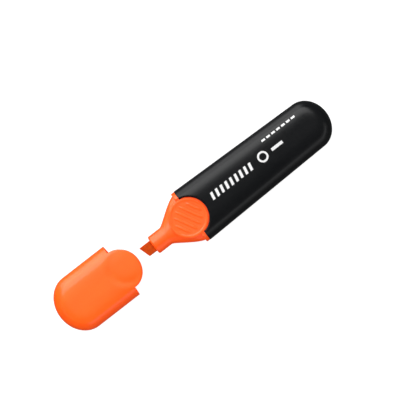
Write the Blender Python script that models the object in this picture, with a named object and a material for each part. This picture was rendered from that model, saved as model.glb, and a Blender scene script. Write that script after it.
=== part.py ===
"""Flat highlighter with its cap pulled off, lying on one of its two flat faces.

The pen points along -X and the cap lies in line in front of the nib.
Metres, +Z up. The origin is the middle of the bounding box on the resting plane.
"""

import math

import bmesh
import bpy
from mathutils import Vector
from mathutils.geometry import interpolate_bezier

# Shared body section: two flat faces joined by bulging sides
THICKNESS = 0.0165
MID_Z = THICKNESS / 2
SIDE_RADIUS = 0.0105
EDGE_FILLET = 0.0010
FACE_FALL = 0.00045
FACE_FALL_WIDTH = 0.0030
GAP = 0.0003

# Barrel
MOUTH_X = -0.00075
BARREL_TIP_X = 0.0763
BARREL_END_DEPTH = 0.0102
MOUTH_HALF = 0.0137
TAIL_HALF = 0.0119
BARREL_WALL = 0.0014

# Round notch in each barrel face, which receives a tongue of the cap
NOTCH_X = -0.0022
NOTCH_DEPTH = 0.0095
NOTCH_HALF = 0.0101
NOTCH_FLOOR = 0.0064
LEDGE_LOW = 0.00645
LEDGE_HIGH = 0.0070
LEDGE_OVERLAP = 0.0006

# Front section
NECK_RADIUS = 0.00458
NECK_FRONT_X = -0.0229
NECK_REAR_X = -0.0157
FLARE_END_X = -0.0026
FLARE_HALF = 0.0124
FLARE_HEIGHT = 0.0061
FLANGE_HALF = 0.0135
FLANGE_REAR_X = -0.00105
PLUG_REAR_X = 0.0100
PLUG_HEIGHT = 0.0061
DISC_X = -0.0026
DISC_RADIUS = 0.00915
DISC_HEIGHT = 0.0069
DISC_CHAMFER = 0.0005

# Nib, reservoir and its film
NIB_TIP_X = -0.02885
NIB_SLANT = 0.00165
NIB_TAIL_X = 0.0090
NIB_WIDTH = 0.0058
NIB_THICKNESS = 0.0034
NIB_EDGE_THICKNESS = 0.0016
NIB_WEDGE_LENGTH = 0.0030
CORE_FRONT_X = 0.0026
CORE_REAR_X = 0.0620
CORE_HALF_WIDTH = 0.0082
CORE_HALF_HEIGHT = 0.0042
FILM_THICKNESS = 0.0003

# Cap
CAP_TIP_X = -0.0763
CAP_END_DEPTH = 0.0116
CAP_SHOULDER_X = -0.0417
CAP_HALF = 0.0137
CAP_WALL = 0.0010
TONGUE_TIP_X = -0.0324
TONGUE_DEPTH = 0.0086
TONGUE_HALF = 0.00975
DISH_X = -0.0384
DISH_RADIUS = 0.0092
DISH_DEPTH = 0.0004
SEAL_REAR_X = -0.0725
SEAL_FRONT_X = -0.0552
SEAL_OUTER = 0.0062
SEAL_INNER = 0.0049
SEAL_BASE = 0.0012

END_STEPS = 28
SIDE_STEPS = 8
FILLET_STEPS = 2
FALL_STEPS = 3
ROUND_STEPS = 40


def clear_scene():
    for old in list(bpy.data.objects):
        bpy.data.objects.remove(old, do_unlink=True)


def new_collection(name):
    collection = bpy.data.collections.new(name)
    bpy.context.scene.collection.children.link(collection)
    return collection


clear_scene()
PARTS = new_collection("highlighter")
CUTTERS = new_collection("cutters")


def make_material(name, color, roughness, metallic=0.0):
    material = bpy.data.materials.new(name)
    material.use_nodes = True
    shader = material.node_tree.nodes["Principled BSDF"]
    shader.inputs["Base Color"].default_value = (*color, 1.0)
    shader.inputs["Roughness"].default_value = roughness
    shader.inputs["Metallic"].default_value = metallic
    material.diffuse_color = (*color, 1.0)
    return material


def finish_mesh(bm, name, collection, material=None):
    bmesh.ops.recalc_face_normals(bm, faces=bm.faces)
    mesh = bpy.data.meshes.new(name)
    bm.to_mesh(mesh)
    bm.free()
    obj = bpy.data.objects.new(name, mesh)
    collection.objects.link(obj)
    if material is not None:
        mesh.materials.append(material)
        mesh.shade_smooth()
        mesh.set_sharp_from_angle(angle=math.radians(32))
    else:
        obj.hide_render = True
        obj.display_type = "WIRE"
    return obj


def loft(rings, name, collection=CUTTERS, material=None):
    """Closed solid through rings that all have the same number of points."""
    bm = bmesh.new()
    loops = [[bm.verts.new(point) for point in ring] for ring in rings]
    count = len(rings[0])
    for lower, upper in zip(loops, loops[1:]):
        for i in range(count):
            j = (i + 1) % count
            bm.faces.new((lower[i], lower[j], upper[j], upper[i]))
    bm.faces.new(loops[0])
    bm.faces.new(loops[-1])
    return finish_mesh(bm, name, collection, material)


def prism(outline, low, high, name):
    """Vertical cutter: a flat outline raised from one height to another."""
    bm = bmesh.new()
    face = bm.faces.new([bm.verts.new((x, y, low)) for x, y in outline])
    raised = bmesh.ops.extrude_face_region(bm, geom=[face])["geom"]
    moved = [item for item in raised if isinstance(item, bmesh.types.BMVert)]
    bmesh.ops.translate(bm, verts=moved, vec=(0, 0, high - low))
    return finish_mesh(bm, name, CUTTERS)


def box(low, high, name):
    bm = bmesh.new()
    bmesh.ops.create_cube(bm, size=1.0)
    size = Vector(high) - Vector(low)
    bmesh.ops.scale(bm, vec=size, verts=bm.verts)
    bmesh.ops.translate(bm, vec=Vector(low) + size / 2, verts=bm.verts)
    return finish_mesh(bm, name, CUTTERS)


def combine(obj, other, operation):
    modifier = obj.modifiers.new(other.name, "BOOLEAN")
    modifier.object = other
    modifier.operation = operation
    modifier.solver = "EXACT"


def body_profile(shrink=0.0, half_height=THICKNESS / 2, fall=0.0):
    """Pairs (inset, height above the middle) round the bulging side, bottom to top.

    The face is flat in the middle and falls away gently over a band next to the side.
    """
    radius = SIDE_RADIUS - shrink
    fillet = EDGE_FILLET
    centre_z = half_height - fall - fillet
    reach = math.sqrt((radius - fillet) ** 2 - centre_z ** 2)
    turn = math.atan2(centre_z, reach)
    upper = []
    for step in range(SIDE_STEPS + 1):
        angle = turn * (2 * step / SIDE_STEPS - 1)
        upper.append((radius - radius * math.cos(angle), radius * math.sin(angle)))
    fillet_points = []
    for step in range(1, FILLET_STEPS + 1):
        angle = turn + (math.pi / 2 - turn) * step / FILLET_STEPS
        y = reach + fillet * math.cos(angle)
        z = centre_z + fillet * math.sin(angle)
        fillet_points.append((radius - y, z))
    edge_inset, edge_z = fillet_points[-1]
    for step in range(1, FALL_STEPS + 1 if fall else 1):
        part = step / FALL_STEPS
        fillet_points.append((edge_inset + part * FACE_FALL_WIDTH,
                              edge_z + fall * (1 - (1 - part) ** 2)))
    lower = [(inset, -height) for inset, height in reversed(fillet_points)]
    return lower + upper + fillet_points


def round_end_outline(open_x, tip_x, depth, open_half, end_half, inset):
    """Plan outline, straight at open_x and half an ellipse at tip_x."""
    direction = 1 if tip_x > open_x else -1
    centre_x = tip_x - direction * depth
    points = [(open_x, -(open_half - inset))]
    for step in range(END_STEPS + 1):
        angle = math.pi * (step / END_STEPS - 0.5)
        x = centre_x + direction * (depth - inset) * math.cos(angle)
        points.append((x, (end_half - inset) * math.sin(angle)))
    points.append((open_x, open_half - inset))
    return points


def strip_outline(low_x, high_x, inset):
    """Plan outline of a slice of the barrel between two stations."""
    straight = BARREL_TIP_X - BARREL_END_DEPTH - MOUTH_X
    slope = (MOUTH_HALF - TAIL_HALF) / straight
    low_half = MOUTH_HALF - slope * (low_x - MOUTH_X) - inset
    high_half = MOUTH_HALF - slope * (high_x - MOUTH_X) - inset
    return [(low_x, -low_half), (high_x, -high_half), (high_x, high_half), (low_x, low_half)]


def half_ellipse(centre_x, depth, half, low_x):
    """Plan outline of a tongue: straight back to low_x, elliptical in front."""
    points = [(low_x, -half)]
    for step in range(END_STEPS + 1):
        angle = math.pi * (step / END_STEPS - 0.5)
        points.append((centre_x + depth * math.cos(angle), half * math.sin(angle)))
    points.append((low_x, half))
    return points


def body(outline, profile, name, collection=CUTTERS, material=None):
    """Solid with a given plan outline at every inset and the body's side profile."""
    rings = []
    for inset, height in profile:
        rings.append([(x, y, MID_Z + height) for x, y in outline(inset)])
    return loft(rings, name, collection, material)


def oval_ring(x, half_width, half_height):
    points = []
    for step in range(ROUND_STEPS):
        angle = 2 * math.pi * step / ROUND_STEPS
        y = half_width * math.cos(angle)
        z = half_height * math.sin(angle)
        points.append((x, y, MID_Z + z))
    return points


def stadium_ring(x, half_width, half_height):
    points = []
    flat = half_width - half_height
    for step in range(ROUND_STEPS):
        angle = 2 * math.pi * (step + 0.5) / ROUND_STEPS - math.pi / 2
        side = 1 if math.cos(angle) > 0 else -1
        y = side * flat + half_height * math.cos(angle)
        points.append((x, y, MID_Z + half_height * math.sin(angle)))
    return points


def notch_cutters(name, low_x):
    """One cutter above and one below the middle for the tongues' notches."""
    outline = half_ellipse(NOTCH_X, NOTCH_DEPTH, NOTCH_HALF, low_x)
    over = THICKNESS * 0.6
    top = prism(outline, MID_Z + NOTCH_FLOOR, MID_Z + over, name + "_top")
    bottom = prism(outline, MID_Z - over, MID_Z - NOTCH_FLOOR, name + "_bottom")
    return top, bottom


# Materials
BLACK = make_material("black_plastic", (0.012, 0.013, 0.015), 0.35)
ORANGE = make_material("orange_plastic", (1.0, 0.17, 0.03), 0.35)
CAP_ORANGE = make_material("cap_plastic", (1.0, 0.18, 0.03), 0.35)
FELT = make_material("nib_felt", (0.68, 0.08, 0.0), 0.9)
FIBRE = make_material("ink_fibre", (1.0, 0.25, 0.02), 0.95)
FILM = make_material("clear_film", (0.85, 0.82, 0.78), 0.3)
SEAL = make_material("seal_plastic", (0.95, 0.30, 0.12), 0.5)


def notch_ledge(side):
    """Thin shelf at the bottom of a notch, cut out round the pad of the front section."""
    front_x = MOUTH_X + GAP
    depth, half = NOTCH_DEPTH + LEDGE_OVERLAP, NOTCH_HALF + LEDGE_OVERLAP
    hole_radius = DISC_RADIUS + GAP
    outer_start = math.acos((front_x - NOTCH_X) / depth)
    hole_start = math.acos((front_x - DISC_X) / hole_radius)
    outer, hole = [], []
    for step in range(END_STEPS + 1):
        part = 2 * step / END_STEPS - 1
        angle = outer_start * part
        outer.append((NOTCH_X + depth * math.cos(angle), half * math.sin(angle)))
        angle = -hole_start * part
        hole.append((DISC_X + hole_radius * math.cos(angle), hole_radius * math.sin(angle)))
    low, high = sorted((MID_Z + side * LEDGE_LOW, MID_Z + side * LEDGE_HIGH))
    return prism(outer + hole, low, high, "ledge_top" if side > 0 else "ledge_bottom")


def make_barrel():
    def outer(inset):
        return round_end_outline(MOUTH_X, BARREL_TIP_X, BARREL_END_DEPTH,
                                 MOUTH_HALF, TAIL_HALF, inset)

    def inner(inset):
        return round_end_outline(MOUTH_X - 0.002, BARREL_TIP_X, BARREL_END_DEPTH,
                                 MOUTH_HALF, TAIL_HALF, inset + BARREL_WALL)

    barrel = body(outer, body_profile(fall=FACE_FALL), "barrel", PARTS, BLACK)
    inner_profile = body_profile(BARREL_WALL, THICKNESS / 2 - BARREL_WALL)
    combine(barrel, body(inner, inner_profile, "barrel_cavity"), "DIFFERENCE")
    for cutter in notch_cutters("barrel_notch", MOUTH_X - 0.005):
        combine(barrel, cutter, "DIFFERENCE")
    for side in (1, -1):
        combine(barrel, notch_ledge(side), "UNION")


def flare_rings():
    """Round neck that swells into an oval as wide as the body."""
    start = Vector((NECK_REAR_X, NECK_RADIUS, NECK_RADIUS))
    start_pull = Vector((NECK_REAR_X + 0.0022, NECK_RADIUS + 0.0008, NECK_RADIUS + 0.0002))
    end_pull = Vector((FLARE_END_X - 0.0039, FLARE_HALF - 0.0010, FLARE_HEIGHT - 0.0002))
    end = Vector((FLARE_END_X, FLARE_HALF, FLARE_HEIGHT))
    stations = interpolate_bezier(start, start_pull, end_pull, end, 12)
    rings = [oval_ring(NECK_FRONT_X, NECK_RADIUS - 0.0003, NECK_RADIUS - 0.0003),
             oval_ring(NECK_FRONT_X + 0.0003, NECK_RADIUS, NECK_RADIUS)]
    for station in stations:
        rings.append(oval_ring(station.x, station.y, station.z))
    rings.append(oval_ring(FLARE_END_X + 0.0008, FLARE_HALF, FLARE_HEIGHT))
    return rings


def make_disc(name):
    """Disc through the whole thickness, which shows as a raised round pad on each face."""
    rings = []
    for height, radius in ((-DISC_HEIGHT, DISC_RADIUS - DISC_CHAMFER),
                           (-DISC_HEIGHT + DISC_CHAMFER, DISC_RADIUS),
                           (DISC_HEIGHT - DISC_CHAMFER, DISC_RADIUS),
                           (DISC_HEIGHT, DISC_RADIUS - DISC_CHAMFER)):
        ring = []
        for step in range(ROUND_STEPS):
            angle = 2 * math.pi * (step + 0.5) / ROUND_STEPS
            ring.append((DISC_X + radius * math.cos(angle), radius * math.sin(angle),
                         MID_Z + height))
        rings.append(ring)
    return loft(rings, name)


def make_front_section():
    front = loft(flare_rings(), "front_section", PARTS, ORANGE)

    def flange_outline(inset):
        return strip_outline(FLARE_END_X, FLANGE_REAR_X, inset + MOUTH_HALF - FLANGE_HALF)

    def plug_outline(inset):
        return strip_outline(FLARE_END_X + 0.0004, PLUG_REAR_X, inset + BARREL_WALL + GAP)

    flange = body(flange_outline, body_profile(0.0002, THICKNESS / 2 - 0.0002), "flange")
    for cutter in notch_cutters("flange_notch", FLARE_END_X - 0.002):
        combine(flange, cutter, "DIFFERENCE")
    plug = body(plug_outline, body_profile(BARREL_WALL + GAP, PLUG_HEIGHT), "plug")
    combine(front, flange, "UNION")
    combine(front, plug, "UNION")
    combine(front, make_disc("disc"), "UNION")
    slot_y = NIB_WIDTH / 2 + GAP
    slot_z = NIB_THICKNESS / 2 + GAP
    slot = box((NECK_FRONT_X - 0.001, -slot_y, MID_Z - slot_z),
               (CORE_FRONT_X, slot_y, MID_Z + slot_z), "nib_slot")
    combine(front, slot, "DIFFERENCE")
    pocket_gap = FILM_THICKNESS + 2 * GAP
    pocket = loft([stadium_ring(x, CORE_HALF_WIDTH + pocket_gap, CORE_HALF_HEIGHT + pocket_gap)
                   for x in (CORE_FRONT_X - GAP, PLUG_REAR_X + 0.002)], "reservoir_pocket")
    combine(front, pocket, "DIFFERENCE")


def make_nib():
    """Flat felt bar whose end is cut at a slant and thinned to a chisel edge."""
    bm = bmesh.new()
    bmesh.ops.create_cube(bm, size=1.0)
    length = NIB_TAIL_X - NIB_TIP_X
    bmesh.ops.scale(bm, vec=(length, NIB_WIDTH, NIB_THICKNESS), verts=bm.verts)
    middle = Vector(((NIB_TAIL_X + NIB_TIP_X) / 2, 0, MID_Z))
    bmesh.ops.translate(bm, vec=middle, verts=bm.verts)
    front = (NIB_TIP_X + NIB_WEDGE_LENGTH, 0, 0)
    everything = bm.verts[:] + bm.edges[:] + bm.faces[:]
    bmesh.ops.bisect_plane(bm, geom=everything, plane_co=front, plane_no=(1, 0, 0))
    for vert in bm.verts:
        if vert.co.x < NIB_TIP_X + NIB_WEDGE_LENGTH / 2:
            side = 1 if vert.co.z > MID_Z else -1
            vert.co.z = MID_Z + side * NIB_EDGE_THICKNESS / 2
            if vert.co.y < 0:
                vert.co.x += NIB_SLANT
    finish_mesh(bm, "nib", PARTS, FELT)


def make_reservoir():
    core = loft([stadium_ring(CORE_FRONT_X, CORE_HALF_WIDTH, CORE_HALF_HEIGHT),
                 stadium_ring(CORE_REAR_X, CORE_HALF_WIDTH, CORE_HALF_HEIGHT)],
                "ink_reservoir", PARTS, FIBRE)
    hole_y = NIB_WIDTH / 2 + GAP
    hole_z = NIB_THICKNESS / 2 + GAP
    hole = box((CORE_FRONT_X - 0.001, -hole_y, MID_Z - hole_z),
               (NIB_TAIL_X + GAP, hole_y, MID_Z + hole_z), "nib_tail_hole")
    combine(core, hole, "DIFFERENCE")


def make_film():
    """Open tube round the fibre core."""
    inner_width = CORE_HALF_WIDTH + GAP
    inner_height = CORE_HALF_HEIGHT + GAP
    film = loft([stadium_ring(x, inner_width + FILM_THICKNESS, inner_height + FILM_THICKNESS)
                 for x in (CORE_FRONT_X, CORE_REAR_X)], "reservoir_film", PARTS, FILM)
    bore = loft([stadium_ring(x, inner_width, inner_height)
                 for x in (CORE_FRONT_X - 0.001, CORE_REAR_X + 0.001)], "film_bore")
    combine(film, bore, "DIFFERENCE")


def shoulder_outline():
    """Everything in front of the cap's shoulder except the tongue."""
    tongue = half_ellipse(TONGUE_TIP_X - TONGUE_DEPTH, TONGUE_DEPTH, TONGUE_HALF,
                          CAP_SHOULDER_X)
    reach = 0.02
    far_x = TONGUE_TIP_X + 0.004
    return tongue + [(CAP_SHOULDER_X, reach), (far_x, reach), (far_x, -reach),
                     (CAP_SHOULDER_X, -reach)]


def dish_cutter(side, name):
    """Shallow lens that sinks a thumb dish into one face of the cap."""
    sphere_radius = (DISH_RADIUS ** 2 + DISH_DEPTH ** 2) / (2 * DISH_DEPTH)
    face_z = MID_Z + side * THICKNESS / 2
    rings = []
    for depth in (DISH_DEPTH * 0.98, DISH_DEPTH * 0.7, DISH_DEPTH * 0.35, 0.0, -0.0004):
        height = sphere_radius - DISH_DEPTH + depth
        radius = math.sqrt(sphere_radius ** 2 - height ** 2)
        ring = []
        for step in range(ROUND_STEPS):
            angle = 2 * math.pi * (step + 0.5) / ROUND_STEPS
            ring.append((DISH_X + radius * math.cos(angle), radius * math.sin(angle),
                         face_z - side * depth))
        rings.append(ring)
    return loft(rings, name)


def make_cap():
    open_x = TONGUE_TIP_X + 0.001

    def outer(inset):
        return round_end_outline(open_x, CAP_TIP_X, CAP_END_DEPTH, CAP_HALF, CAP_HALF, inset)

    def inner(inset):
        return round_end_outline(open_x + 0.002, CAP_TIP_X, CAP_END_DEPTH,
                                 CAP_HALF, CAP_HALF, inset + CAP_WALL)

    cap = body(outer, body_profile(fall=FACE_FALL), "cap_shell", PARTS, CAP_ORANGE)
    inner_profile = body_profile(CAP_WALL, THICKNESS / 2 - CAP_WALL)
    combine(cap, body(inner, inner_profile, "cap_cavity"), "DIFFERENCE")
    shoulder = prism(shoulder_outline(), -0.003, THICKNESS + 0.003, "cap_shoulder")
    combine(cap, shoulder, "DIFFERENCE")
    combine(cap, dish_cutter(1, "dish_top"), "DIFFERENCE")
    combine(cap, dish_cutter(-1, "dish_bottom"), "DIFFERENCE")


def make_seal():
    """Turned sleeve inside the cap, closed at the back, that fits round the neck."""
    corner = 0.0004
    profile = [(0.0, SEAL_REAR_X), (SEAL_OUTER - corner, SEAL_REAR_X),
               (SEAL_OUTER, SEAL_REAR_X + corner), (SEAL_OUTER, SEAL_FRONT_X),
               (SEAL_INNER + corner, SEAL_FRONT_X), (SEAL_INNER, SEAL_FRONT_X - corner),
               (SEAL_INNER, SEAL_REAR_X + SEAL_BASE), (0.0, SEAL_REAR_X + SEAL_BASE)]
    bm = bmesh.new()
    verts = [bm.verts.new((x, radius, MID_Z)) for radius, x in profile]
    edges = [bm.edges.new(pair) for pair in zip(verts, verts[1:])]
    bmesh.ops.spin(bm, geom=verts + edges, cent=(0, 0, MID_Z), axis=(1, 0, 0),
                   angle=2 * math.pi, steps=ROUND_STEPS, use_merge=True)
    bmesh.ops.remove_doubles(bm, verts=bm.verts, dist=0.00001)
    finish_mesh(bm, "cap_seal", PARTS, SEAL)


def parent_to_empties():
    """Pen pieces ride one empty and cap pieces another, both on the sliding axis."""
    groups = {
        "pen_frame": (0.0, ("barrel", "front_section", "nib", "ink_reservoir",
                            "reservoir_film")),
        "cap_frame": (CAP_SHOULDER_X, ("cap_shell", "cap_seal")),
    }
    for name, (x, children) in groups.items():
        empty = bpy.data.objects.new(name, None)
        empty.location = (x, 0, MID_Z)
        PARTS.objects.link(empty)
        for child_name in children:
            child = bpy.data.objects[child_name]
            child.data.transform(empty.matrix_basis.inverted())
            child.parent = empty


make_barrel()
make_front_section()
make_nib()
make_reservoir()
make_film()
make_cap()
make_seal()
parent_to_empties()
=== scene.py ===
"""Looks for the flat highlighter: fine shells, nib, grip ribs, printed marks, materials, studio."""

import math

import bmesh
import bpy
from mathutils import Matrix, Vector
from mathutils.geometry import interpolate_bezier


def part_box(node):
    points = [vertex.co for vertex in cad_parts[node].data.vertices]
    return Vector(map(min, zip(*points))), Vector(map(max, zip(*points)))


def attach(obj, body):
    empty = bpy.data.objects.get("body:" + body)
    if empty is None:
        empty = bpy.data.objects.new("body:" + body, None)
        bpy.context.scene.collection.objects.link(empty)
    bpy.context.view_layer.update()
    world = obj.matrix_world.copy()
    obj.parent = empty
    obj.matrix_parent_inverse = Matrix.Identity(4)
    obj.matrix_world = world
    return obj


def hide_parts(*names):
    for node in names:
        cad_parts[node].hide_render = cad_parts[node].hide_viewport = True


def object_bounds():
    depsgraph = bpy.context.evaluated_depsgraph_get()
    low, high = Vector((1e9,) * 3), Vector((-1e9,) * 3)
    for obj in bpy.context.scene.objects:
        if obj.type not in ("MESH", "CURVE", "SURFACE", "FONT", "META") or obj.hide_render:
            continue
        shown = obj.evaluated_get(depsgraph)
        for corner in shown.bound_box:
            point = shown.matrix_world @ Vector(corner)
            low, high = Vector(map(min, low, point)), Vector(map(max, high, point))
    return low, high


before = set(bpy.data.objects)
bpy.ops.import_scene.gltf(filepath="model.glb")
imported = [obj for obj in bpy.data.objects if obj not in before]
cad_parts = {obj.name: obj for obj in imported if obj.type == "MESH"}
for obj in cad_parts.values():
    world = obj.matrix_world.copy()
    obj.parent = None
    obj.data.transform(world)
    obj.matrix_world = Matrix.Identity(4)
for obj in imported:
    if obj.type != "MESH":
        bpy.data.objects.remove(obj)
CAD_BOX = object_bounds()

# ---------------------------------------------------------------- sizes from the frame
BARREL_LO, BARREL_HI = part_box("barrel")
CAP_LO, CAP_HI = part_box("cap_shell")
FRONT_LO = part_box("front_section")[0]
NIB_LO, NIB_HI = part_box("nib")
SEAL_LO, SEAL_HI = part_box("cap_seal")

THICKNESS = BARREL_HI.z - BARREL_LO.z
MID_Z = (BARREL_HI.z + BARREL_LO.z) / 2
GAP = 0.0003

# Barrel
MOUTH_X = BARREL_LO.x
BARREL_TIP_X = BARREL_HI.x
BARREL_END_DEPTH = 0.0102
MOUTH_HALF = BARREL_HI.y
TAIL_HALF = MOUTH_HALF - 0.0018
BARREL_WALL = 0.0014
BARREL_EDGE = 0.00018

# Cap
CAP_HALF = CAP_HI.y
CAP_TIP_X = CAP_LO.x
CAP_END_DEPTH = 0.0116
CAP_WALL = 0.0010
CAP_EDGE = 0.00016
SHOULDER_X = -0.0414
TONGUE_TIP_X = CAP_HI.x
TONGUE_DEPTH = 0.0086
TONGUE_HALF = 0.00975
TONGUE_FLOOR = 0.0070

# Shared section: round sides, a fillet and a crowned face
SIDE_RADIUS = 0.0092
FILLET = 0.0026
LEAST_FILLET = 0.0005
CREASE = math.radians(7)
CROWN = 0.0010
INNER_CROWN = 0.0002
CROWN_POWER = 4.0
FACE_HALF = 0.0101
FACE_DROP = 0.00005

# Notch in each face for a tongue of the cap, with a thin shelf at its bottom
NOTCH_X = -0.0022
NOTCH_DEPTH = 0.0095
NOTCH_HALF = 0.0101
NOTCH_FLOOR = 0.0064
LEDGE_LOW = 0.00645
LEDGE_HIGH = 0.0069

# Front section
NECK_RADIUS = 0.00458
NECK_RIM = 0.0007
NECK_REAR_X = -0.0157
FLARE_END_X = -0.0026
FLARE_HALF = 0.0124
FLARE_HEIGHT = 0.0061
FLANGE_FRONT_X = -0.0025
FLANGE_FRONT_CORNER = 0.00040
FLANGE_REAR_CORNER = 0.00012
FLANGE_INSET = 0.00015
SEAM = 0.00004
PLUG_FRONT_X = -0.0022
PLUG_REAR_X = 0.0100
PLUG_HEIGHT = 0.0061
NIB_CLEARANCE = 0.00012

# Round pad with grip ribs
DISC_X = -0.0026
DISC_RADIUS = 0.00915
DISC_RIM = 0.0004
FIELD_TOP = 0.0066
FIELD_DROP = 0.00025
RIB_SLANT = math.radians(28)
RIB_PITCH = 0.0028
RIB_HALF_WIDTH = 0.00072
RIB_HEIGHT = 0.00044

END_STEPS = 72
COLUMNS = 44
SIDE_STEPS = 26
FILLET_STEPS = 6
FACE_STEPS = 14
ROUND_STEPS = 120


# ---------------------------------------------------------------- mesh helpers
def to_object(bm, name, smooth_angle=30):
    bmesh.ops.recalc_face_normals(bm, faces=bm.faces)
    mesh = bpy.data.meshes.new(name)
    bm.to_mesh(mesh)
    bm.free()
    mesh.shade_smooth()
    mesh.set_sharp_from_angle(angle=math.radians(smooth_angle))
    obj = bpy.data.objects.new(name, mesh)
    bpy.context.scene.collection.objects.link(obj)
    return obj


def boolean(obj, other, operation):
    modifier = obj.modifiers.new(other.name, "BOOLEAN")
    modifier.object = other
    modifier.operation = operation
    modifier.solver = "EXACT"


def bake(obj, smooth_angle=30):
    """Apply the modifiers, remove the Boolean tools and shade the result."""
    cutters = [m.object for m in obj.modifiers if m.type == "BOOLEAN"]
    depsgraph = bpy.context.evaluated_depsgraph_get()
    mesh = bpy.data.meshes.new_from_object(obj.evaluated_get(depsgraph))
    obj.modifiers.clear()
    obj.data = mesh
    mesh.shade_smooth()
    mesh.set_sharp_from_angle(angle=math.radians(smooth_angle))
    for cutter in cutters:
        bpy.data.objects.remove(cutter, do_unlink=True)


def round_edges(obj, width):
    bevel = obj.modifiers.new("soft_edges", "BEVEL")
    bevel.width = width
    bevel.segments = 3
    bevel.limit_method = "ANGLE"
    bevel.angle_limit = math.radians(38)
    bevel.use_clamp_overlap = True
    bevel.miter_outer = "MITER_ARC"


def loft(rings, name, closed_ends=True, smooth_angle=30):
    """Surface through rings that all have the same number of points."""
    bm = bmesh.new()
    loops = [[bm.verts.new(point) for point in ring] for ring in rings]
    count = len(rings[0])
    for lower, upper in zip(loops, loops[1:]):
        for i in range(count):
            j = (i + 1) % count
            bm.faces.new((lower[i], lower[j], upper[j], upper[i]))
    if closed_ends:
        bm.faces.new(loops[0])
        bm.faces.new(loops[-1])
    return to_object(bm, name, smooth_angle)


def prism(outline, low, high, name):
    return loft([[(x, y, low) for x, y in outline], [(x, y, high) for x, y in outline]], name)


# ---------------------------------------------------------------- body shells
def plan(shape, inset):
    """Plan outline, straight at the open end and half an ellipse at the closed end."""
    open_x, tip_x, depth, open_half, end_half = shape
    direction = 1 if tip_x > open_x else -1
    centre_x = tip_x - direction * depth
    straight = [(open_x + (centre_x - open_x) * step / COLUMNS,
                 open_half + (end_half - open_half) * step / COLUMNS - inset)
                for step in range(COLUMNS)]
    points = [(x, -y) for x, y in straight]
    for step in range(END_STEPS + 1):
        angle = math.pi * (step / END_STEPS - 0.5)
        x = centre_x + direction * (depth - inset) * math.cos(angle)
        points.append((x, (end_half - inset) * math.sin(angle)))
    points += reversed(straight)
    return points


def half_section(wall, crown):
    """Rows (kind, value, height) from the middle plane to the upper face's centre line.

    The second result is the inset at which the face begins.
    """
    radius = SIDE_RADIUS - wall
    half = THICKNESS / 2 - FACE_DROP - wall
    fillet = max(FILLET - wall, LEAST_FILLET)
    slope = math.atan(CROWN_POWER * crown / FACE_HALF) + CREASE
    centre_z = half - crown - fillet * math.cos(slope)
    reach = math.sqrt((radius - fillet) ** 2 - centre_z ** 2)
    turn = math.atan2(centre_z, reach)
    rows = []
    for step in range(SIDE_STEPS // 2 + 1):
        angle = turn * 2 * step / SIDE_STEPS
        rows.append(("inset", radius - radius * math.cos(angle), radius * math.sin(angle)))
    for step in range(1, FILLET_STEPS + 1):
        angle = turn + (math.pi / 2 - slope - turn) * step / FILLET_STEPS
        y = reach + fillet * math.cos(angle)
        rows.append(("inset", radius - y, centre_z + fillet * math.sin(angle)))
    last_inset, last_z = rows[-1][1], rows[-1][2]
    for step in range(1, FACE_STEPS + 1):
        scale = 1 - step / FACE_STEPS
        rows.append(("face", scale, last_z + crown * (1 - scale ** CROWN_POWER)))
    return rows, last_inset


def shell_rings(shape, wall, crown):
    """Rings from the lower face round the sides to the upper face.

    A face ring shrinks towards a spine that runs along the straight part.
    """
    rows, edge_inset = half_section(wall, crown)
    open_x, tip_x, depth = shape[:3]
    direction = 1 if tip_x > open_x else -1
    centre_x = tip_x - direction * depth
    edge = plan(shape, edge_inset + wall)
    rings = []
    for kind, value, height in rows:
        if kind == "inset":
            flat = plan(shape, value + wall)
        else:
            flat = []
            for x, y in edge:
                spine = x if direction * (x - centre_x) < 0 else centre_x
                flat.append((spine + (x - spine) * value, y * value))
        rings.append((flat, height))
    lower = [[(x, y, MID_Z - height) for x, y in flat] for flat, height in reversed(rings)]
    upper = [[(x, y, MID_Z + height) for x, y in flat] for flat, height in rings[1:]]
    return lower + upper


def no_relief(x, y):
    return 0.0


def shell(shape, wall, name, relief=no_relief):
    """Hollow body with crowned faces, round sides and one open end, as one closed mesh."""
    bm = bmesh.new()
    outer = []
    for ring in shell_rings(shape, 0.0, CROWN):
        side = 1 if ring[0][2] > MID_Z else -1
        outer.append([bm.verts.new((x, y, z - side * relief(x, side * y))) for x, y, z in ring])
    inner = [[bm.verts.new(p) for p in ring] for ring in shell_rings(shape, wall, INNER_CROWN)]
    for loops in (outer, inner):
        for lower, upper in zip(loops, loops[1:]):
            for i in range(len(lower) - 1):
                bm.faces.new((lower[i], lower[i + 1], upper[i + 1], upper[i]))
    for end in (0, -1):
        for k in range(len(outer) - 1):
            bm.faces.new((outer[k][end], outer[k + 1][end], inner[k + 1][end], inner[k][end]))
    bmesh.ops.remove_doubles(bm, verts=bm.verts, dist=1e-7)
    bmesh.ops.dissolve_degenerate(bm, dist=1e-8, edges=bm.edges)
    return to_object(bm, name)


def half_ellipse(centre_x, depth, half, low_x):
    """Plan outline of a tongue: straight back to low_x, elliptical in front."""
    points = [(low_x, -half)]
    for step in range(END_STEPS + 1):
        angle = math.pi * (step / END_STEPS - 0.5)
        points.append((centre_x + depth * math.cos(angle), half * math.sin(angle)))
    points.append((low_x, half))
    return points


def notch(obj, name, low_x):
    """Cut a tongue's notch into each face, from low_x backwards."""
    outline = half_ellipse(NOTCH_X, NOTCH_DEPTH, NOTCH_HALF, low_x)
    above_face = THICKNESS * 0.62
    for side in (1, -1):
        low, high = sorted((MID_Z + side * NOTCH_FLOOR, MID_Z + side * above_face))
        boolean(obj, prism(outline, low, high, "%s_%d" % (name, side + 1)), "DIFFERENCE")


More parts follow.
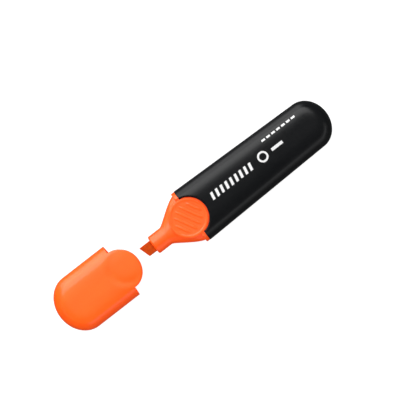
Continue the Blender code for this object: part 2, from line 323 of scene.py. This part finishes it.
def notch_ledge(side):
    """Thin shelf at the bottom of a notch, cut out round the pad of the front section."""
    front_x = MOUTH_X + GAP
    depth, half = NOTCH_DEPTH + GAP, NOTCH_HALF + GAP
    hole = DISC_RADIUS + GAP
    outer_start = math.acos((front_x - NOTCH_X) / depth)
    hole_start = math.acos((front_x - DISC_X) / hole)
    outer, inner = [], []
    for step in range(END_STEPS + 1):
        part = 2 * step / END_STEPS - 1
        angle = outer_start * part
        outer.append((NOTCH_X + depth * math.cos(angle), half * math.sin(angle)))
        angle = -hole_start * part
        inner.append((DISC_X + hole * math.cos(angle), hole * math.sin(angle)))
    low, high = sorted((MID_Z + side * LEDGE_LOW, MID_Z + side * LEDGE_HIGH))
    return prism(outer + inner, low, high, "ledge_%d" % (side + 1))


def face_height(x, y):
    """Height of the barrel's crowned upper face."""
    straight = BARREL_TIP_X - BARREL_END_DEPTH - MOUTH_X
    half = MOUTH_HALF - (MOUTH_HALF - TAIL_HALF) * (x - MOUTH_X) / straight
    edge = half - half_section(0.0, CROWN)[1]
    return MID_Z + THICKNESS / 2 - FACE_DROP - CROWN * abs(y / edge) ** CROWN_POWER


# ---------------------------------------------------------------- materials
class Graph:
    """Small helper to build a node material."""

    def __init__(self, name):
        self.material = bpy.data.materials.new(name)
        self.material.use_nodes = True
        self.tree = self.material.node_tree
        self.shader = self.tree.nodes["Principled BSDF"]
        coordinates = self.tree.nodes.new("ShaderNodeTexCoord")
        self.coords = coordinates.outputs["Object"]

    def link(self, source, target):
        self.tree.links.new(source, target)

    def stretched(self, scale):
        mapping = self.tree.nodes.new("ShaderNodeMapping")
        mapping.inputs["Scale"].default_value = scale
        self.link(self.coords, mapping.inputs["Vector"])
        return mapping.outputs["Vector"]

    def noise(self, scale, detail=3.0, vector=None, roughness=0.55):
        node = self.tree.nodes.new("ShaderNodeTexNoise")
        node.inputs["Scale"].default_value = scale
        node.inputs["Detail"].default_value = detail
        node.inputs["Roughness"].default_value = roughness
        self.link(vector or self.coords, node.inputs["Vector"])
        return node.outputs["Fac"]

    def ramp(self, source, low, high, start=0.35, end=0.65):
        node = self.tree.nodes.new("ShaderNodeValToRGB")
        node.color_ramp.elements[0].position = start
        node.color_ramp.elements[0].color = (*low, 1)
        node.color_ramp.elements[1].position = end
        node.color_ramp.elements[1].color = (*high, 1)
        self.link(source, node.inputs["Fac"])
        return node.outputs["Color"]

    def spread(self, source, low, high):
        node = self.tree.nodes.new("ShaderNodeMapRange")
        node.inputs["From Min"].default_value = 0.3
        node.inputs["From Max"].default_value = 0.7
        node.inputs["To Min"].default_value = low
        node.inputs["To Max"].default_value = high
        self.link(source, node.inputs["Value"])
        return node.outputs["Result"]

    def math(self, operation, first, second):
        node = self.tree.nodes.new("ShaderNodeMath")
        node.operation = operation
        for socket, value in zip(node.inputs, (first, second)):
            if isinstance(value, (int, float)):
                socket.default_value = value
            else:
                self.link(value, socket)
        return node.outputs["Value"]

    def bump(self, height, strength, distance):
        node = self.tree.nodes.new("ShaderNodeBump")
        node.inputs["Strength"].default_value = strength
        node.inputs["Distance"].default_value = distance
        self.link(height, node.inputs["Height"])
        self.link(node.outputs["Normal"], self.shader.inputs["Normal"])

    def set(self, **values):
        for key, value in values.items():
            self.shader.inputs[key.replace("_", " ")].default_value = value


def moulded_plastic(name, low, high, rough, grain=0.25, subsurface=0.0, painted_glow=None,
                    painted_glow_power=0.0, shine=0.5, coat=0.0):
    """Injection-moulded plastic: faint flow clouds, fine grain and uneven gloss, with an optional
    painted glow (orange emission) that brightens its shaded faces.
    """
    graph = Graph(name)
    cloud = graph.noise(140, 4.0, graph.stretched((0.45, 1.0, 1.0)))
    graph.link(graph.ramp(cloud, low, high), graph.shader.inputs["Base Color"])
    gloss = graph.noise(900, 3.0)
    graph.link(graph.spread(gloss, rough[0], rough[1]), graph.shader.inputs["Roughness"])
    fine = graph.noise(5200, 2.0)
    wave = graph.noise(260, 2.0)
    height = graph.math("ADD", graph.math("MULTIPLY", fine, 0.35), wave)
    graph.bump(height, grain, 0.00003)
    graph.set(IOR=1.5, Specular_IOR_Level=shine, Coat_Weight=coat, Coat_Roughness=0.10)
    if subsurface:
        graph.set(Subsurface_Weight=subsurface, Subsurface_Scale=0.002,
                  Subsurface_Radius=(1.0, 0.35, 0.12))
    # Painted glow: an orange emission that lifts the red of the shaded bands, though the plastic is
    # no lamp.
    if painted_glow:
        graph.shader.inputs["Specular Tint"].default_value = (1.0, 0.92, 0.72, 1.0)
        graph.shader.inputs["Emission Color"].default_value = (*painted_glow, 1)
        graph.shader.inputs["Emission Strength"].default_value = painted_glow_power
    return graph.material


BLACK = moulded_plastic("black_satin_plastic", (0.0030, 0.0034, 0.0042),
                        (0.0044, 0.0048, 0.0056), (0.30, 0.36), grain=0.15)
# Both orange plastics carry a painted glow (emission) that brightens their shaded faces.
ORANGE = moulded_plastic("orange_holder_plastic", (0.93, 0.098, 0.003), (1.0, 0.114, 0.005),
                         (0.38, 0.46), subsurface=0.12, painted_glow=(1.0, 0.06, 0.0), painted_glow_power=0.40,
                         shine=0.8, coat=0.5)
CAP_ORANGE = moulded_plastic("orange_cap_plastic", (0.95, 0.110, 0.002), (1.0, 0.126, 0.004),
                             (0.40, 0.48), subsurface=0.15, painted_glow=(1.0, 0.06, 0.0),
                             painted_glow_power=0.45, shine=0.8, coat=0.6)
SEAL = moulded_plastic("seal_plastic", (0.90, 0.26, 0.10), (0.95, 0.30, 0.13), (0.4, 0.5))
WHITE_INK = moulded_plastic("white_print", (0.80, 0.80, 0.80), (0.88, 0.88, 0.88), (0.35, 0.5),
                            grain=0.4)


def felt_material():
    """Compressed felt soaked with ink: lengthwise fibres with lighter and darker patches."""
    graph = Graph("inked_felt")
    fibres = graph.noise(1.0, 5.0, graph.stretched((420, 4200, 4200)), 0.7)
    patches = graph.noise(700, 3.0)
    mixed = graph.math("ADD", graph.math("MULTIPLY", fibres, 0.7),
                       graph.math("MULTIPLY", patches, 0.3))
    colour = graph.ramp(mixed, (0.44, 0.036, 0.0), (0.72, 0.108, 0.004), 0.32, 0.68)
    graph.link(colour, graph.shader.inputs["Base Color"])
    graph.link(graph.spread(patches, 0.65, 0.95), graph.shader.inputs["Roughness"])
    graph.bump(mixed, 0.6, 0.00012)
    graph.set(Sheen_Weight=0.05, Sheen_Roughness=0.6, Specular_IOR_Level=0.15)
    return graph.material


def fibre_material():
    graph = Graph("inked_fibre_bundle")
    fibres = graph.noise(1.0, 4.0, graph.stretched((60, 5200, 5200)), 0.7)
    colour = graph.ramp(fibres, (0.70, 0.12, 0.01), (1.0, 0.33, 0.07))
    graph.link(colour, graph.shader.inputs["Base Color"])
    graph.link(graph.spread(fibres, 0.7, 0.95), graph.shader.inputs["Roughness"])
    graph.bump(fibres, 0.7, 0.0001)
    return graph.material


def film_material():
    graph = Graph("thin_clear_film")
    wrinkles = graph.noise(300, 4.0, graph.stretched((0.2, 1.0, 1.0)))
    colour = graph.ramp(wrinkles, (0.72, 0.55, 0.42), (0.85, 0.75, 0.66))
    graph.link(colour, graph.shader.inputs["Base Color"])
    graph.link(graph.spread(wrinkles, 0.15, 0.35), graph.shader.inputs["Roughness"])
    graph.bump(wrinkles, 0.4, 0.0001)
    return graph.material


def give(obj, material, body, slot, *nodes):
    obj.data.materials.clear()
    obj.data.materials.append(material)
    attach(obj, body)
    if nodes:
        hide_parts(*nodes)


# ---------------------------------------------------------------- barrel
def make_barrel():
    shape = (MOUTH_X, BARREL_TIP_X, BARREL_END_DEPTH, MOUTH_HALF, TAIL_HALF)
    barrel = shell(shape, BARREL_WALL, "barrel_shell")
    notch(barrel, "barrel_notch", MOUTH_X - 0.004)
    for side in (1, -1):
        boolean(barrel, notch_ledge(side), "UNION")
    bake(barrel)
    round_edges(barrel, BARREL_EDGE)
    bake(barrel)
    give(barrel, BLACK, "pen", "black_plastic", "barrel")


# ---------------------------------------------------------------- front section
def oval_ring(x, half_width, half_height):
    points = []
    for step in range(ROUND_STEPS):
        angle = 2 * math.pi * step / ROUND_STEPS
        points.append((x, half_width * math.cos(angle), MID_Z + half_height * math.sin(angle)))
    return points


def make_neck_and_flare():
    """Round neck with a rounded rim that swells into an oval as wide as the body."""
    start = Vector((NECK_REAR_X, NECK_RADIUS, NECK_RADIUS))
    start_pull = start + Vector((0.0022, 0.0008, 0.0002))
    end = Vector((FLARE_END_X, FLARE_HALF, FLARE_HEIGHT))
    end_pull = end - Vector((0.0039, 0.0010, 0.0002))
    rings = []
    for step in range(6):
        angle = math.pi / 2 * step / 5
        radius = NECK_RADIUS - NECK_RIM * (1 - math.sin(angle))
        rings.append(oval_ring(FRONT_LO.x + NECK_RIM * (1 - math.cos(angle)), radius, radius))
    for station in interpolate_bezier(start, start_pull, end_pull, end, 30):
        rings.append(oval_ring(station.x, station.y, station.z))
    rings.append(oval_ring(FLARE_END_X + 0.0008, FLARE_HALF, FLARE_HEIGHT))
    return loft(rings, "front_holder")


def section(half_width, shrink):
    """Closed (y, z) outline of the crowned cross-section, shrunk all round."""
    rows, edge_inset = half_section(shrink, CROWN)
    edge = half_width - shrink - edge_inset
    quarter = [(half_width - shrink - value if kind == "inset" else edge * value, height)
               for kind, value, height in rows]
    upper = quarter + [(-y, z) for y, z in reversed(quarter[:-1])]
    return upper + [(y, -z) for y, z in reversed(upper[1:-1])]


def make_flange():
    """Collar between barrel and cap, its rims rounded, cut away for the pads."""
    stations = []
    for corner, edge_x, sign in ((FLANGE_FRONT_CORNER, FLANGE_FRONT_X, 1),
                                 (FLANGE_REAR_CORNER, MOUTH_X - SEAM, -1)):
        arc = []
        for step in range(5):
            angle = math.pi / 2 * step / 4
            arc.append((edge_x + sign * corner * (1 - math.cos(angle)),
                        FLANGE_INSET + corner * (1 - math.sin(angle))))
        stations += arc if sign > 0 else list(reversed(arc))
    rings = [[(x, y, MID_Z + z) for y, z in section(MOUTH_HALF, shrink)]
             for x, shrink in stations]
    flange = loft(rings, "flange")
    notch(flange, "flange_notch", FLANGE_FRONT_X - 0.0024)
    bake(flange)
    return flange


def make_plug():
    """Slice of the barrel's inner section, which presses into the mouth."""
    straight = BARREL_TIP_X - BARREL_END_DEPTH - MOUTH_X
    slope = (MOUTH_HALF - TAIL_HALF) / straight
    shrink = BARREL_WALL + GAP
    radius = SIDE_RADIUS - shrink
    top = math.asin(PLUG_HEIGHT / radius)
    rings = []
    for step in range(SIDE_STEPS + 1):
        angle = top * (2 * step / SIDE_STEPS - 1)
        inset = shrink + radius - radius * math.cos(angle)
        z = MID_Z + radius * math.sin(angle)
        front_half = MOUTH_HALF - slope * (PLUG_FRONT_X - MOUTH_X) - inset
        rear_half = MOUTH_HALF - slope * (PLUG_REAR_X - MOUTH_X) - inset
        rings.append([(PLUG_FRONT_X, -front_half, z), (PLUG_REAR_X, -rear_half, z),
                      (PLUG_REAR_X, rear_half, z), (PLUG_FRONT_X, front_half, z)])
    return loft(rings, "plug")


def disc_rings(side):
    """Raised round pad: straight wall, rounded rim and a field sunk below the rim."""
    top = FIELD_TOP + FIELD_DROP
    rows = [(DISC_RADIUS, 0.0)]
    for step in range(7):
        angle = math.pi / 2 * step / 6
        rows.append((DISC_RADIUS - DISC_RIM + DISC_RIM * math.cos(angle),
                     top - DISC_RIM + DISC_RIM * math.sin(angle)))
    rows += [(DISC_RADIUS - 0.0010, top), (DISC_RADIUS - 0.0013, top - 0.00008),
             (DISC_RADIUS - 0.0015, top - 0.00022), (DISC_RADIUS - 0.0019, FIELD_TOP)]
    angles = [2 * math.pi * (k + 0.5) / ROUND_STEPS for k in range(ROUND_STEPS)]
    return [[(DISC_X + radius * math.cos(a), radius * math.sin(a), MID_Z + side * height)
             for a in angles] for radius, height in rows]


def make_ribs(side):
    """Slanted moulded grip ribs on the pad, clipped to its round field."""
    bm = bmesh.new()
    field = DISC_RADIUS - 0.0022
    base = FIELD_TOP - 0.0001
    along = Vector((math.sin(RIB_SLANT), -math.cos(RIB_SLANT)))
    across = Vector((math.cos(RIB_SLANT), math.sin(RIB_SLANT)))
    stations, arc = 16, 8
    for index in range(-2, 3):
        offset = index * RIB_PITCH
        half_length = math.sqrt(field ** 2 - offset ** 2)
        loops = []
        for step in range(stations + 1):
            t = -1 + 2 * step / stations
            taper = max(math.sqrt(max(0.0, 1 - abs(t) ** 6)), 0.05)
            loop = []
            for k in range(arc + 1):
                a = math.pi * k / arc
                y = offset + RIB_HALF_WIDTH * taper * math.cos(a)
                spot = across * y + along * (t * half_length)
                rise = base + RIB_HEIGHT * taper * math.sin(a)
                loop.append(bm.verts.new((DISC_X + spot.x, spot.y, MID_Z + side * rise)))
            loops.append(loop)
        for first, second in zip(loops, loops[1:]):
            for k in range(arc):
                bm.faces.new((first[k], first[k + 1], second[k + 1], second[k]))
            bm.faces.new((first[arc], first[0], second[0], second[arc]))
        bm.faces.new(loops[0])
        bm.faces.new(loops[-1])
    return to_object(bm, "grip_ribs_upper" if side > 0 else "grip_ribs_lower")


def make_front():
    holder = make_neck_and_flare()
    boolean(holder, make_flange(), "UNION")
    boolean(holder, make_plug(), "UNION")
    for side in (1, -1):
        boolean(holder, loft(disc_rings(side), "disc_%d" % (side + 1)), "UNION")
    slot_y = (NIB_HI.y - NIB_LO.y) / 2 + NIB_CLEARANCE
    slot_z = (NIB_HI.z - NIB_LO.z) / 2 + NIB_CLEARANCE
    front_x, rear_x = FRONT_LO.x - 0.001, 0.002
    outline = [(front_x, -slot_y), (rear_x, -slot_y), (rear_x, slot_y), (front_x, slot_y)]
    slot = prism(outline, MID_Z - slot_z, MID_Z + slot_z, "nib_slot")
    boolean(holder, slot, "DIFFERENCE")
    bake(holder)
    give(holder, ORANGE, "pen", "orange_plastic", "front_section")
    for side in (1, -1):
        give(make_ribs(side), ORANGE, "pen", "orange_plastic")


# ---------------------------------------------------------------- nib
def make_nib():
    """Felt bar with softened corners, a slanted chisel end and slightly uneven fibres."""
    half_y = (NIB_HI.y - NIB_LO.y) / 2 - 0.00003
    half_z = (NIB_HI.z - NIB_LO.z) / 2 - 0.00003
    length = NIB_HI.x - NIB_LO.x
    slant, wedge, edge_share = 0.00165, 0.0030, 0.47
    rounding, rounding_depth = 0.05, 0.00015
    corner_power, crowding = 0.14, 1.6
    stations, around = 46, 64
    rings = []
    for step in range(stations + 1):
        depth = (step / stations) ** crowding * length
        taper = min(1.0, edge_share + (1 - edge_share) * min(depth / wedge, 1.0))
        round_in = 1 - rounding * math.exp(-depth / rounding_depth)
        ring = []
        for k in range(around):
            a = 2 * math.pi * (k + 0.5) / around
            c, s = math.cos(a), math.sin(a)
            y = half_y * math.copysign(abs(c) ** corner_power, c)
            z = half_z * taper * math.copysign(abs(s) ** corner_power, s)
            shift = slant * (0.5 - y / (2 * half_y)) * (1 - depth / length)
            ring.append((NIB_LO.x + depth + shift, y * round_in, MID_Z + z * round_in))
        rings.append(ring)
    nib = loft(rings, "nib_felt", smooth_angle=50)
    fuzz = bpy.data.textures.new("felt_fuzz", "CLOUDS")
    fuzz.noise_scale = 0.0006
    displace = nib.modifiers.new("fuzz", "DISPLACE")
    displace.texture = fuzz
    displace.strength = 0.00006
    displace.mid_level = 1.0
    bake(nib, 50)
    give(nib, felt_material(), "pen", "nib_felt", "nib")


# ---------------------------------------------------------------- cap
def smooth_step(t):
    t = min(max(t, 0.0), 1.0)
    return t * t * (3 - 2 * t)


def thumb_dish(x, y):
    """Depth of the thumb rest on the tongue: a low dome with a moat along one side."""
    centre_x, floor_radius, rim_radius, depth = -0.0384, 0.0070, 0.0102, 0.00056
    deepest = math.radians(-138)
    distance = math.hypot(x - centre_x, y)
    weight = 0.5 + 0.5 * math.cos(math.atan2(y, x - centre_x) - deepest)
    if distance < floor_radius:
        return depth * weight * (distance / floor_radius) ** 3
    return depth * weight * smooth_step((rim_radius - distance) / (rim_radius - floor_radius))


def make_cap():
    open_x = TONGUE_TIP_X + 0.0008
    shape = (open_x, CAP_TIP_X, CAP_END_DEPTH, CAP_HALF, CAP_HALF)
    cap = shell(shape, CAP_WALL, "cap_body", thumb_dish)
    tongue = half_ellipse(TONGUE_TIP_X - TONGUE_DEPTH, TONGUE_DEPTH, TONGUE_HALF, SHOULDER_X)
    reach, far_x, over = 0.02, TONGUE_TIP_X + 0.004, 0.003
    block = [(SHOULDER_X, reach), (far_x, reach), (far_x, -reach), (SHOULDER_X, -reach)]
    boolean(cap, prism(tongue + block, -over, THICKNESS + over, "shoulder"), "DIFFERENCE")
    between = prism(list(reversed(block)), MID_Z - TONGUE_FLOOR, MID_Z + TONGUE_FLOOR,
                    "under_tongues")
    boolean(cap, between, "DIFFERENCE")
    bake(cap)
    round_edges(cap, CAP_EDGE)
    bake(cap)
    give(cap, CAP_ORANGE, "cap", "cap_plastic", "cap_shell")


def make_seal():
    """Turned sleeve inside the cap, closed at the back, that fits round the neck."""
    outer, inner, base, corner = 0.0062, 0.0049, 0.0012, 0.0003
    bulge = corner * 0.3
    rear, front = SEAL_LO.x, SEAL_HI.x
    profile = [(0.0, rear), (outer - corner, rear), (outer - bulge, rear + bulge),
               (outer, rear + corner), (outer, front - corner),
               (outer - bulge, front - bulge), (outer - corner, front),
               (inner + corner, front), (inner + bulge, front - bulge),
               (inner, front - corner), (inner, rear + base), (0.0, rear + base)]
    bm = bmesh.new()
    verts = [bm.verts.new((x, radius, MID_Z)) for radius, x in profile]
    edges = [bm.edges.new(pair) for pair in zip(verts, verts[1:])]
    bmesh.ops.spin(bm, geom=verts + edges, cent=(0, 0, MID_Z), axis=(1, 0, 0),
                   angle=2 * math.pi, steps=96, use_merge=True)
    bmesh.ops.remove_doubles(bm, verts=bm.verts, dist=1e-6)
    seal = to_object(bm, "seal_sleeve")
    give(seal, SEAL, "cap", "seal_plastic", "cap_seal")


# ---------------------------------------------------------------- printed marks
def print_patch(bm, corners, rows=6):
    """Ink film on the barrel's face, its four corners given in order round the patch."""
    left_low, right_low, right_high, left_high = (Vector(corner) for corner in corners)
    lift = 0.00002
    grid = []
    for r in range(rows + 1):
        left = left_low.lerp(left_high, r / rows)
        right = right_low.lerp(right_high, r / rows)
        spots = [left.lerp(right, c / 2) for c in range(3)]
        grid.append([bm.verts.new((spot.x, spot.y, face_height(spot.x, spot.y) + lift))
                     for spot in spots])
    for r in range(rows):
        for c in range(2):
            bm.faces.new((grid[r][c], grid[r][c + 1], grid[r + 1][c + 1], grid[r + 1][c]))


def bar(bm, x, y, length, height, slant=0.0):
    print_patch(bm, ((x, y - height / 2), (x + length, y - height / 2),
                     (x + length + slant, y + height / 2), (x + slant, y + height / 2)))


def printed_ring(bm, x, y, inner, outer, steps=40):
    for k in range(steps):
        a0, a1 = 2 * math.pi * k / steps, 2 * math.pi * (k + 1) / steps
        corners = [(x + radius * math.cos(angle), y + radius * math.sin(angle))
                   for radius, angle in ((inner, a0), (outer, a0), (outer, a1), (inner, a1))]
        print_patch(bm, corners, 1)


def make_prints():
    """Plain marks in place of lettering: a hatched stroke, a ring, a bar and dashes."""
    bm = bmesh.new()
    for index in range(9):
        bar(bm, 0.0112 + index * 0.00268, 0.0011, length=0.0013, height=0.0036, slant=0.0007)
    bar(bm, 0.0458, 0.0012, length=0.0062, height=0.0014)
    for index in range(7):
        bar(bm, 0.0446 + index * 0.0028, 0.0070, length=0.0019, height=0.0009)
    printed_ring(bm, 0.0408, 0.0012, inner=0.0017, outer=0.0026)
    bmesh.ops.remove_doubles(bm, verts=bm.verts, dist=1e-6)
    marks = to_object(bm, "printed_marks")
    solid = marks.modifiers.new("ink_thickness", "SOLIDIFY")
    solid.thickness = 0.00003
    solid.offset = 0.0
    bake(marks)
    give(marks, WHITE_INK, "pen", "black_plastic")


# ---------------------------------------------------------------- studio
def make_floor():
    """Pale floor that shows white and takes only a faint contact shadow."""
    bm = bmesh.new()
    bmesh.ops.create_grid(bm, x_segments=8, y_segments=8, size=1.7)
    floor = to_object(bm, "floor")
    floor.location = (0, 0, CAD_BOX[0].z - 0.0002)
    graph = Graph("pale_floor")
    paper = graph.noise(30, 3.0)
    graph.link(graph.ramp(paper, (0.30, 0.30, 0.30), (0.32, 0.32, 0.32)),
               graph.shader.inputs["Base Color"])
    graph.set(Roughness=0.9, Specular_IOR_Level=0.0)
    graph.shader.inputs["Emission Color"].default_value = (1, 1, 1, 1)
    graph.shader.inputs["Emission Strength"].default_value = 0.92
    floor.data.materials.append(graph.material)
    floor.visible_glossy = False
    floor.visible_diffuse = False


def make_backdrop():
    """Pale round wall far outside the lights, so low views do not look past the floor."""
    rings = []
    for radius, height in ((1.55, 0.0), (1.62, 0.02), (1.70, 0.10), (1.76, 0.30), (1.80, 1.60)):
        rings.append([(radius * math.cos(a), radius * math.sin(a), height - 0.001)
                      for a in (2 * math.pi * k / 96 for k in range(96))])
    wall = loft(rings, "backdrop", closed_ends=False)
    wall.data.materials.append(bpy.data.materials["pale_floor"])
    wall.visible_glossy = wall.visible_diffuse = wall.visible_shadow = False


def area_light(name, location, size, power, glossy=True):
    light = bpy.data.lights.new(name, "AREA")
    light.shape = "RECTANGLE"
    light.size, light.size_y = size
    light.energy = power
    obj = bpy.data.objects.new(name, light)
    bpy.context.scene.collection.objects.link(obj)
    obj.location = location
    obj.visible_glossy = glossy
    direction = Vector((0, 0, MID_Z)) - obj.location
    obj.rotation_euler = direction.to_track_quat("-Z", "Y").to_euler()


def make_lights():
    """Soft boxes on the +Y side and above, and weaker ones round the other sides."""
    area_light("key_high", (0.06, 0.455, 0.528), (0.92, 0.52), 3.4)
    area_light("key_low", (0.0, 0.69, 0.07), (0.80, 0.62), 2.1)
    area_light("side", (0.0, 0.68, 0.15), (0.80, 0.30), 2.3, glossy=False)
    area_light("fill", (0.0, 0.05, 0.80), (0.70, 0.70), 2.6, glossy=False)
    area_light("end", (-0.70, 0.06, 0.24), (0.50, 0.40), 1.3, glossy=False)
    area_light("rear", (0.50, -0.44, 0.24), (0.50, 0.40), 0.45)
    area_light("rear_soft", (0.70, 0.0, 0.22), (0.50, 0.40), 0.9, glossy=False)
    area_light("low", (0.0, -0.66, 0.24), (0.80, 0.60), 0.75)
    area_light("low_soft", (0.0, -0.68, 0.10), (0.80, 0.30), 0.4, glossy=False)
    world = bpy.data.worlds.new("studio")
    world.use_nodes = True
    background = world.node_tree.nodes["Background"]
    background.inputs["Color"].default_value = (1, 1, 1, 1)
    background.inputs["Strength"].default_value = 0.06
    bpy.context.scene.world = world


def make_camera():
    """Camera nearly straight above the pen, rolled so that the pen lies aslant."""
    target = Vector((0.0065, 0.0034, MID_Z))
    distance, tilt, roll = 0.909, math.radians(1.9), math.radians(37.82)
    camera = bpy.data.cameras.new("camera")
    camera.sensor_width = 36
    camera.lens = 180
    camera.clip_start = 0.01
    camera.clip_end = 10
    obj = bpy.data.objects.new("camera", camera)
    bpy.context.scene.collection.objects.link(obj)
    back = Matrix.Rotation(tilt, 3, "X") @ Vector((0, 0, 1))
    across = Vector((math.cos(roll), -math.sin(roll), 0))
    above = back.cross(across).normalized()
    across = above.cross(back).normalized()
    rotation = Matrix((across, above, back)).transposed()
    obj.matrix_world = Matrix.Translation(target + back * distance) @ rotation.to_4x4()
    bpy.context.scene.camera = obj


def finish_cad_nodes():
    """Inner pieces keep their CAD shape and get a fibrous and a film material."""
    for node, material in (("ink_reservoir", fibre_material()),
                           ("reservoir_film", film_material())):
        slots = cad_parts[node].data.materials
        slots.clear()
        slots.append(material)


make_barrel()
make_front()
make_nib()
make_cap()
make_seal()
make_prints()
finish_cad_nodes()
make_floor()
make_backdrop()
make_lights()
make_camera()

bpy.context.scene.view_settings.view_transform = "Standard"
bpy.context.scene.view_settings.look = "None"
